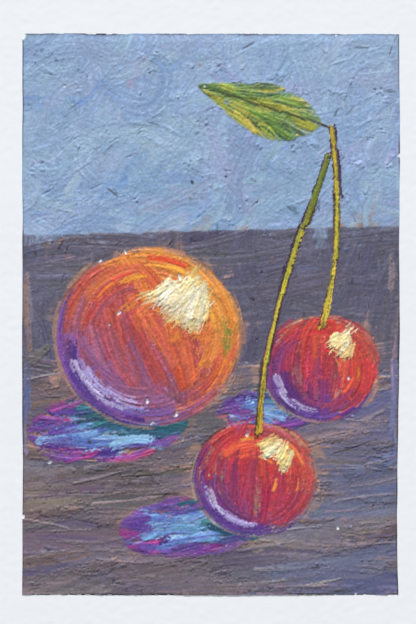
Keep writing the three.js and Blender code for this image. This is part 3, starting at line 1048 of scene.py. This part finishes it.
# %% Pastel
def pastel(name, dullness, streak):
    """Waxy colour. Dullness is its roughness, and streak is how strongly its streaks show."""
    material, tree, shader = new_material(name)
    mark = stored(tree, "mark", "Vector")
    streaks = noise_node(tree, scaled_vector(tree, mark, (0.35, 3.6, 1)), 1.0, 3, 0.6)
    place = tree.nodes.new("ShaderNodeTexCoord").outputs["Object"]
    grain = noise_node(tree, place, 3200, 3, 0.6)
    both = maths(tree, "ADD", maths(tree, "MULTIPLY", streaks, 0.65), maths(tree, "MULTIPLY", grain, 0.35))
    tone = maths(tree, "ADD", maths(tree, "MULTIPLY", maths(tree, "SUBTRACT", both, 0.5), streak), 1.0)
    tinted = tree.nodes.new("ShaderNodeVectorMath")
    tinted.operation = "SCALE"
    tree.links.new(stored(tree, "pigment", "Color"), tinted.inputs[0])
    tree.links.new(tone, tinted.inputs["Scale"])
    tree.links.new(tinted.outputs["Vector"], shader.inputs["Base Color"])
    bare = stored(tree, "bare", "Fac")
    rough = maths(tree, "ADD", maths(tree, "MULTIPLY", grain, 0.24), dullness - 0.12)
    dry = maths(tree, "MAXIMUM", rough, maths(tree, "MULTIPLY", bare, 0.92))
    tree.links.new(dry, shader.inputs["Roughness"])
    shader.inputs["IOR"].default_value = 1.45
    bump(tree, shader, both, 0.7, 0.00015)
    return material


slots = {"wall_paint": "wall_pastel", "table_paint": "table_pastel", "apricot_paint": "apricot_pastel",
         "front_cherry_paint": "cherry_pastel", "back_cherry_paint": "cherry_pastel",
         "apricot_shadow_paint": "shadow_pastel", "front_cherry_shadow_paint": "shadow_pastel",
         "back_cherry_shadow_paint": "shadow_pastel", "front_stalk_paint": "stalk_pastel",
         "back_stalk_paint": "stalk_pastel", "leaf_paint": "leaf_pastel",
         "apricot_highlight_paint": "highlight_pastel",
         "front_cherry_highlight_paint": "highlight_pastel",
         "back_cherry_highlight_paint": "highlight_pastel"}
finishes = {"wall_pastel": pastel("wall_pastel", 0.62, 0.17),
            "table_pastel": pastel("table_pastel", 0.52, 0.26),
            "apricot_pastel": pastel("apricot_pastel", 0.48, 0.2),
            "cherry_pastel": pastel("cherry_pastel", 0.46, 0.2),
            "shadow_pastel": pastel("shadow_pastel", 0.5, 0.2),
            "stalk_pastel": pastel("stalk_pastel", 0.46, 0.24),
            "leaf_pastel": pastel("leaf_pastel", 0.48, 0.22),
            "highlight_pastel": pastel("highlight_pastel", 0.44, 0.12)}

# %% Make each deposit
def settle(piece, node, material):
    piece.data.materials.append(material)
    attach(piece, "root")
    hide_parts(node)
    highest = max(corner[2] for corner in piece.bound_box) / MM
    triangles = sum(len(face.vertices) - 2 for face in piece.data.polygons)
    print(piece.name, triangles, "triangles, up to", round(highest, 2), "mm")


for index, node in enumerate(first_layer):
    shell = lower_shell(node.replace("_paint", "_deposit"), owner == index)
    settle(shell, node, finishes[slots[node]])
for node in second_layer:
    shell = upper_shell(node.replace("_paint", "_deposit"), top_cells[node])
    settle(shell, node, finishes[slots[node]])

# %% [markdown]
# ## The paper
#
# Cold-pressed paper is dried against felt, which leaves shallow pebbles under a millimetre across.
# In raking light they show only faintly, so they are a few hundredths of a millimetre high here. The
# sheet is one grid whose rim is extruded down by the paper's thickness and closed underneath, with
# its outermost line pressed down a little as a guillotine leaves it.

# %% Paper sheet
PAPER_GRAIN = 0.65
paper_columns = round((paper_high.x - paper_low.x) / PAPER_GRAIN)
paper_rows = round((paper_high.y - paper_low.y) / PAPER_GRAIN)
sheet = bmesh.new()
sheet_middle = Matrix.Translation((paper_low + paper_high) / 2)
sheet_half = Matrix.Diagonal(((paper_high.x - paper_low.x) / 2, (paper_high.y - paper_low.y) / 2, 1, 1))
bmesh.ops.create_grid(sheet, x_segments=paper_columns, y_segments=paper_rows, size=1,
                      matrix=sheet_middle @ sheet_half)
pebble_tile = noise_tile(3, 3)
fibre_tile = noise_tile(1.5, 3)
for face in sheet.faces:
    face.smooth = True
for vertex in sheet.verts:
    column, row = int((vertex.co.x + 200) * 8), int((vertex.co.y + 200) * 8)
    pebble = pebble_tile[column % TILE, row % TILE] + 0.4 * fibre_tile[column % TILE, row % TILE]
    pressed = 0.05 if vertex.is_boundary else 0.0
    vertex.co.z = paper_top + (0.0 if vertex.is_boundary else 0.013 * pebble - 0.012) - pressed
paper_rim = [edge for edge in sheet.edges if edge.is_boundary]
for edge in paper_rim:
    edge.smooth = False
paper_skirt = bmesh.ops.extrude_edge_only(sheet, edges=paper_rim)["geom"]
for item in paper_skirt:
    if isinstance(item, bmesh.types.BMVert):
        item.co.z = paper_low.z
paper_hem = [item for item in paper_skirt if isinstance(item, bmesh.types.BMEdge) and item.is_boundary]
bmesh.ops.triangle_fill(sheet, use_beauty=False, use_dissolve=False, edges=paper_hem)
bmesh.ops.recalc_face_normals(sheet, faces=sheet.faces)
bmesh.ops.transform(sheet, matrix=Matrix.Scale(MM, 4), verts=sheet.verts)
paper_mesh = bpy.data.meshes.new("paper")
sheet.to_mesh(paper_mesh)
sheet.free()
paper = bpy.data.objects.new("paper", paper_mesh)
bpy.context.scene.collection.objects.link(paper)


def paper_finish():
    material, tree, shader = new_material("cold_pressed_paper")
    place = tree.nodes.new("ShaderNodeTexCoord").outputs["Object"]
    pebbles = noise_node(tree, place, 1500, 2, 0.5)
    fibres = noise_node(tree, scaled_vector(tree, place, (1, 3, 1)), 2600, 4, 0.7)
    mottle = noise_node(tree, place, 45, 3, 0.5)
    mixed = maths(tree, "ADD", maths(tree, "MULTIPLY", pebbles, 0.6), maths(tree, "MULTIPLY", fibres, 0.4))
    tone = maths(tree, "ADD", maths(tree, "MULTIPLY", mottle, 0.03), 0.985)
    white = (bare_paper + 0.055) / 1.055
    tinted = tree.nodes.new("ShaderNodeVectorMath")
    tinted.operation = "SCALE"
    tinted.inputs[0].default_value = tuple(white ** 2.4)
    tree.links.new(tone, tinted.inputs["Scale"])
    tree.links.new(tinted.outputs["Vector"], shader.inputs["Base Color"])
    shader.inputs["Roughness"].default_value = 0.92
    shader.inputs["Specular IOR Level"].default_value = 0.25
    bump(tree, shader, mixed, 0.35, 0.00006)
    return material


settle(paper, "paper_sheet", paper_finish())

# %% [markdown]
# ## Floor, light and camera
#
# The sheet lies on a pale floor and the camera looks straight down at it. The main light is a soft
# one beyond the picture's top edge and low enough to rake the surface, so that each ridge is bright
# on its upper side and dark below. A broad light overhead fills the furrows.

# %% Floor
floor_mesh = bpy.data.meshes.new("floor")
floor_build = bmesh.new()
bmesh.ops.create_grid(floor_build, x_segments=1, y_segments=1, size=3.0,
                      matrix=Matrix.Translation((0, 0, -0.0002)))
floor_build.to_mesh(floor_mesh)
floor_build.free()
floor = bpy.data.objects.new("floor", floor_mesh)
bpy.context.scene.collection.objects.link(floor)
floor_finish, _, floor_shader = new_material("pale_floor")
floor_shader.inputs["Base Color"].default_value = (0.62, 0.63, 0.65, 1)
floor_shader.inputs["Roughness"].default_value = 0.85
floor.data.materials.append(floor_finish)

# %% Lights
def area_light(name, place, aim, size, power, colour):
    data = bpy.data.lights.new(name, "AREA")
    data.shape = "SQUARE"
    data.size = size
    data.energy = power
    data.color = colour
    light = bpy.data.objects.new(name, data)
    light.location = place
    light.rotation_euler = (Vector(aim) - Vector(place)).to_track_quat("-Z", "Y").to_euler()
    bpy.context.scene.collection.objects.link(light)
    return light


area_light("key", (-0.5, 3.5, 2.0), (0, 0, 0), 0.7, 213.0, (1.0, 0.985, 0.96))
area_light("overhead", (0.1, -0.8, 1.05), (0, 0, 0), 1.0, 5.6, (0.94, 0.97, 1.0))
world = bpy.data.worlds.new("studio")
world.use_nodes = True
world.node_tree.nodes["Background"].inputs["Color"].default_value = (0.9, 0.95, 1.0, 1)
world.node_tree.nodes["Background"].inputs["Strength"].default_value = 0.16
bpy.context.scene.world = world
bpy.context.scene.view_settings.view_transform = "Standard"

# %% Camera
LENS = 100
SENSOR = 36
view_height = (top - bottom) * 1.1137
distance = view_height * LENS / SENSOR
camera_data = bpy.data.cameras.new("camera")
camera_data.lens = LENS
camera_data.sensor_width = SENSOR
camera = bpy.data.objects.new("camera", camera_data)
camera.location = Vector(((left + right) / 2 - 0.76, (bottom + top) / 2 + 0.57, paper_top + distance)) * MM
camera.rotation_euler = (0, 0, 0)
camera_data.clip_start = 0.01
bpy.context.scene.collection.objects.link(camera)
bpy.context.scene.camera = camera
print("camera stands", round(distance), "mm above the paper")
